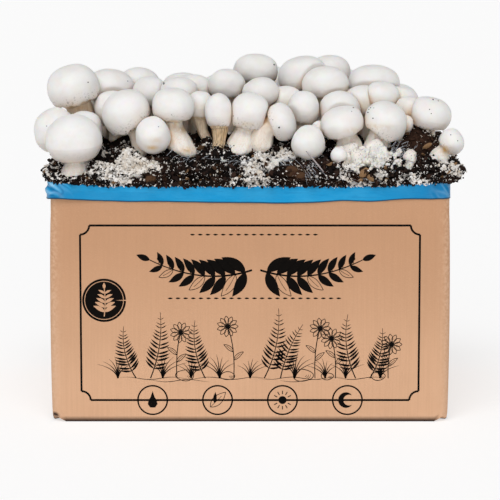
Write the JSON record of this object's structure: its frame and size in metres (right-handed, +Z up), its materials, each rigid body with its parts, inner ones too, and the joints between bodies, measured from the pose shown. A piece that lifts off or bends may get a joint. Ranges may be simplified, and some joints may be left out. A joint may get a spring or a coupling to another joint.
{
  "type": "button mushroom grow kit",
  "caption": "Kraft carton lined with a blue plastic bag and filled with dark compost, with a dense stand of white button mushrooms growing out of the top.",
  "frame": {"origin": "on the underside of the carton, below its middle, in the plane that it stands on", "axes": "+Z up out of the carton's open top; +X along the long side, to the right seen from the printed front; +Y from the front to the back"},
  "size_m": [0.4236, 0.3054, 0.3528],
  "materials": {
    "kraft_board": "matt brown kraft board with a fine paper grain and near-black print on the front",
    "blue_film": "thin blue bag film, softly glossy, wrinkled at the corners",
    "compost": "dark crumbly compost and casing soil with white mycelium",
    "mushroom_flesh": "smooth white caps, cream fibrous stems"
  },
  "bodies": {
    "root": {"carton": "kraft_board", "film_bag": "blue_film", "growing_medium": "compost", "mushroom_01": "mushroom_flesh", "mushroom_02": "mushroom_flesh", "mushroom_03": "mushroom_flesh", "mushroom_04": "mushroom_flesh", "mushroom_05": "mushroom_flesh", "mushroom_06": "mushroom_flesh", "mushroom_07": "mushroom_flesh", "mushroom_08": "mushroom_flesh", "mushroom_09": "mushroom_flesh", "mushroom_10": "mushroom_flesh", "mushroom_11": "mushroom_flesh", "mushroom_12": "mushroom_flesh", "mushroom_13": "mushroom_flesh", "mushroom_14": "mushroom_flesh", "mushroom_15": "mushroom_flesh", "mushroom_16": "mushroom_flesh", "mushroom_17": "mushroom_flesh", "mushroom_18": "mushroom_flesh", "mushroom_19": "mushroom_flesh", "mushroom_20": "mushroom_flesh", "mushroom_21": "mushroom_flesh", "mushroom_22": "mushroom_flesh", "mushroom_23": "mushroom_flesh", "mushroom_24": "mushroom_flesh", "mushroom_25": "mushroom_flesh", "mushroom_26": "mushroom_flesh", "mushroom_27": "mushroom_flesh", "mushroom_28": "mushroom_flesh", "mushroom_29": "mushroom_flesh", "mushroom_30": "mushroom_flesh", "mushroom_31": "mushroom_flesh", "mushroom_32": "mushroom_flesh", "mushroom_33": "mushroom_flesh", "mushroom_34": "mushroom_flesh", "mushroom_35": "mushroom_flesh", "mushroom_36": "mushroom_flesh", "mushroom_37": "mushroom_flesh", "mushroom_38": "mushroom_flesh", "mushroom_39": "mushroom_flesh", "mushroom_40": "mushroom_flesh", "mushroom_41": "mushroom_flesh", "mushroom_42": "mushroom_flesh", "mushroom_43": "mushroom_flesh", "mushroom_44": "mushroom_flesh", "mushroom_45": "mushroom_flesh", "mushroom_46": "mushroom_flesh", "mushroom_47": "mushroom_flesh", "mushroom_48": "mushroom_flesh", "mushroom_49": "mushroom_flesh", "mushroom_50": "mushroom_flesh", "mushroom_51": "mushroom_flesh", "mushroom_52": "mushroom_flesh", "mushroom_53": "mushroom_flesh", "mushroom_54": "mushroom_flesh", "mushroom_55": "mushroom_flesh", "mushroom_56": "mushroom_flesh", "mushroom_57": "mushroom_flesh"}
  },
  "joints": []
}
